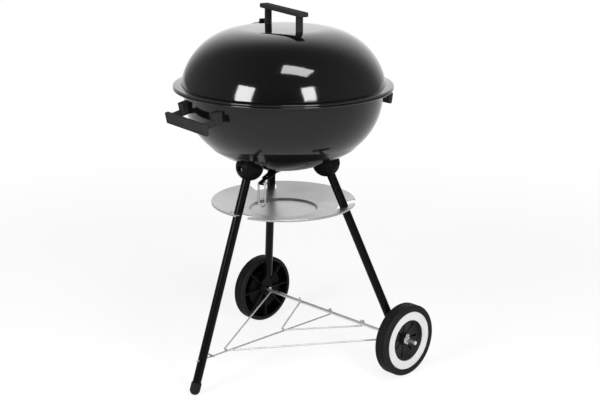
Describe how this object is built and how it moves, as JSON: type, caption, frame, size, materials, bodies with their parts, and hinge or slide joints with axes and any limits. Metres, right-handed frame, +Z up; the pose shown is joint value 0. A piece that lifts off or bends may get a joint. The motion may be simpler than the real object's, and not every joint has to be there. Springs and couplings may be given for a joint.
{
  "type": "kettle charcoal grill",
  "caption": "Kettle charcoal grill: domed lid on a round bowl, splayed tube legs with two wheels and a foot, ash catcher tray, side handles and a wire rack.",
  "frame": {"origin": "on the ground under the middle of the whole grill, 7.5 mm in front of the kettle's upright axis", "axes": "+Z up; X along the wheel axle; -Y towards the leg without a wheel"},
  "size_m": [0.494, 0.4926, 0.7484],
  "materials": {
    "bowl_enamel": "dark grey gloss porcelain enamel",
    "lid_enamel": "black gloss porcelain enamel",
    "handle_plastic": "black satin heat-proof plastic",
    "socket_plastic": "matte black moulded plastic",
    "leg_paint": "semi-gloss black paint",
    "foot_plastic": "matte black plastic",
    "lever_enamel": "black enamel with a bare cut edge",
    "ring_plastic": "white moulded plastic",
    "wheel_plastic": "dark grey moulded plastic",
    "ash_aluminium": "satin sheet aluminium",
    "plated_wire": "bright plated wire",
    "inner_steel": "black enamel",
    "plated_fasteners": "zinc-plated steel"
  },
  "bodies": {
    "stand": {"axle": "plated_fasteners", "bowl": "bowl_enamel", "foot_cap": "foot_plastic", "grate_bracket_left": "inner_steel", "grate_bracket_rear": "inner_steel", "grate_bracket_right": "inner_steel", "leg_bolt_foot": "plated_fasteners", "leg_bolt_left": "plated_fasteners", "leg_bolt_right": "plated_fasteners", "leg_foot": "leg_paint", "leg_left": "leg_paint", "leg_right": "leg_paint", "leg_socket_foot": "socket_plastic", "leg_socket_left": "socket_plastic", "leg_socket_right": "socket_plastic", "lock_screw_foot": "plated_fasteners", "lock_screw_left": "plated_fasteners", "lock_screw_right": "plated_fasteners", "rack_centre_wire": "plated_wire", "rack_inner_wire": "plated_wire", "rack_outer_wire": "plated_wire", "rack_stop_wire": "plated_wire", "side_handle_front": "handle_plastic", "side_handle_front_screw_first": "plated_fasteners", "side_handle_front_screw_second": "plated_fasteners", "side_handle_rear": "handle_plastic", "side_handle_rear_screw_first": "plated_fasteners", "side_handle_rear_screw_second": "plated_fasteners", "split_pin_left": "plated_fasteners", "split_pin_right": "plated_fasteners", "washer_left": "plated_fasteners", "washer_right": "plated_fasteners"},
    "lid": {"lid": "lid_enamel", "lid_handle": "handle_plastic", "lid_handle_screw_first": "plated_fasteners", "lid_handle_screw_second": "plated_fasteners", "lid_vent_rivet": "plated_fasteners"},
    "lid_vent": {"lid_vent": "lid_enamel"},
    "ash_damper": {"damper_plate": "inner_steel", "damper_pivot": "plated_fasteners", "damper_lever": "lever_enamel"},
    "pull_loop": {"damper_loop": "plated_wire"},
    "ash_catcher": {"ash_catcher": "ash_aluminium"},
    "cooking_grate": {"cooking_grate": "plated_wire"},
    "charcoal_grate": {"charcoal_grate": "plated_wire"},
    "right_wheel": {"wheel_right": "wheel_plastic", "wheel_ring_right": "ring_plastic"},
    "left_wheel": {"wheel_left": "wheel_plastic", "wheel_ring_left": "ring_plastic"}
  },
  "joints": [
    {"name": "lid_lift", "type": "slide", "parent": "stand", "child": "lid", "axis": [0, 0, 1], "range_m": [0, 0.25]},
    {"name": "lid_vent_turn", "type": "hinge", "parent": "lid", "child": "lid_vent", "pos_m": [-0.13394, 0.05762, 0.68946], "axis": [-0.4868, 0.182, 0.8543], "range_deg": [0, 45]},
    {"name": "ash_damper_turn", "type": "hinge", "parent": "stand", "child": "ash_damper", "pos_m": [0, 0.00754, 0.425], "axis": [0, 0, 1], "range_deg": [0, 45]},
    {"name": "pull_loop_swing", "type": "hinge", "parent": "ash_damper", "child": "pull_loop", "pos_m": [0.01412, -0.0651, 0.40785], "axis": [0.9816, 0.1908, 0], "range_deg": [-45, 45]},
    {"name": "ash_catcher_turn", "type": "hinge", "parent": "stand", "child": "ash_catcher", "pos_m": [0, 0.00754, 0.35], "axis": [0, 0, 1], "range_deg": [-12.2, 0]},
    {"name": "cooking_grate_lift", "type": "slide", "parent": "stand", "child": "cooking_grate", "axis": [0, 0, 1], "range_m": [0, 0.035]},
    {"name": "charcoal_grate_lift", "type": "slide", "parent": "stand", "child": "charcoal_grate", "axis": [0, 0, 1], "range_m": [0, 0.05]},
    {"name": "right_wheel_spin", "type": "hinge", "parent": "stand", "child": "right_wheel", "pos_m": [0.216, 0.14554, 0.075], "axis": [1, 0, 0], "continuous": true},
    {"name": "left_wheel_spin", "type": "hinge", "parent": "stand", "child": "left_wheel", "pos_m": [-0.216, 0.14554, 0.075], "axis": [1, 0, 0], "continuous": true}
  ]
}
